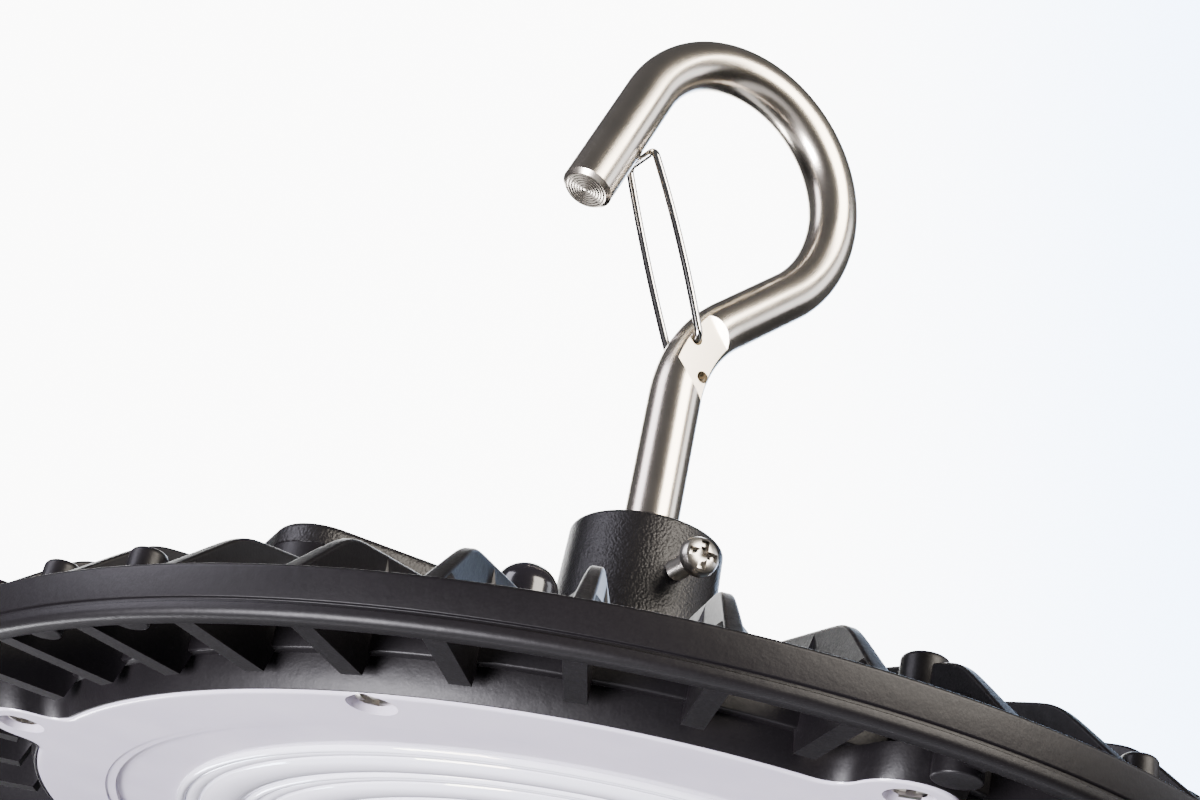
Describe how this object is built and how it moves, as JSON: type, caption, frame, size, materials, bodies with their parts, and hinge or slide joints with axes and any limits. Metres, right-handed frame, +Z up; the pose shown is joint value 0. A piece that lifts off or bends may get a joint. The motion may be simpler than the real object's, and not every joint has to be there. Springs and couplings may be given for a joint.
{
  "type": "high bay light",
  "caption": "Round high bay light with a finned cast body, ring-optic lens, driver box and a bent bar hook with a wire latch.",
  "frame": {"origin": "middle of the rim's lower face, where the light stands", "axes": "+Z up along the hook's stem, the hook's lock screw points along -Y, the cable gland along +X"},
  "size_m": [0.2298, 0.2298, 0.1765],
  "materials": {
    "coated_casting": "matt black powder coat on die-cast aluminium",
    "coated_lid": "coarse black powder coat on cast aluminium",
    "hook_steel": "satin stainless bar",
    "wire_steel": "bright drawn wire",
    "screw_steel": "plain steel screws",
    "lens_plastic": "milky moulded lens",
    "seal_rubber": "moulded rubber",
    "board_white": "white solder mask on an aluminium board",
    "chip_phosphor": "yellow phosphor",
    "pad_grey": "soft grey heat pad",
    "circuit_green": "green circuit board",
    "insulator_film": "insulating film",
    "ferrite": "dark ferrite and yellow tape",
    "black_plastic": "moulded black plastic",
    "can_aluminium": "sleeved aluminium can",
    "film_yellow": "yellow film capacitor case",
    "terminal_green": "green terminal block",
    "lead_jacket": "insulated wire",
    "earth_steel": "plated steel"
  },
  "bodies": {
    "lamp": {"heatsink": "coated_casting", "driver_lid": "coated_lid", "lid_gasket": "seal_rubber", "lid_screw_seals": "seal_rubber", "lid_screws": "screw_steel", "hook": "hook_steel", "hook_lock_screw": "screw_steel", "hook_washer": "screw_steel", "hook_nut": "screw_steel", "lens": "lens_plastic", "lens_gasket": "seal_rubber", "lens_screws": "screw_steel", "thermal_pad": "pad_grey", "led_board": "board_white", "led_chips": "chip_phosphor", "board_screws": "screw_steel", "led_leads": "lead_jacket", "lead_grommet": "seal_rubber", "driver_insulator": "insulator_film", "driver_board": "circuit_green", "driver_screws": "screw_steel", "earth_screw": "earth_steel", "transformer": "ferrite", "choke": "ferrite", "storage_capacitors": "can_aluminium", "transistors": "black_plastic", "film_capacitor": "film_yellow", "input_terminal": "terminal_green", "output_terminal": "terminal_green", "vent_seal": "seal_rubber", "vent_plug": "black_plastic", "gland_seal": "seal_rubber", "gland_body": "black_plastic", "gland_insert": "seal_rubber", "gland_nut": "black_plastic", "gland_locknut": "black_plastic"},
    "latch": {"hook_latch": "wire_steel"}
  },
  "joints": [
    {"name": "latch_hinge", "type": "hinge", "parent": "lamp", "child": "latch", "pos_m": [0.00164, 0.00019, 0.1031], "axis": [0.2111, 0.6462, -0.7334], "range_deg": [0, 22], "stiffness_Nm_per_rad": 0.02, "springref_deg": -20.05}
  ]
}
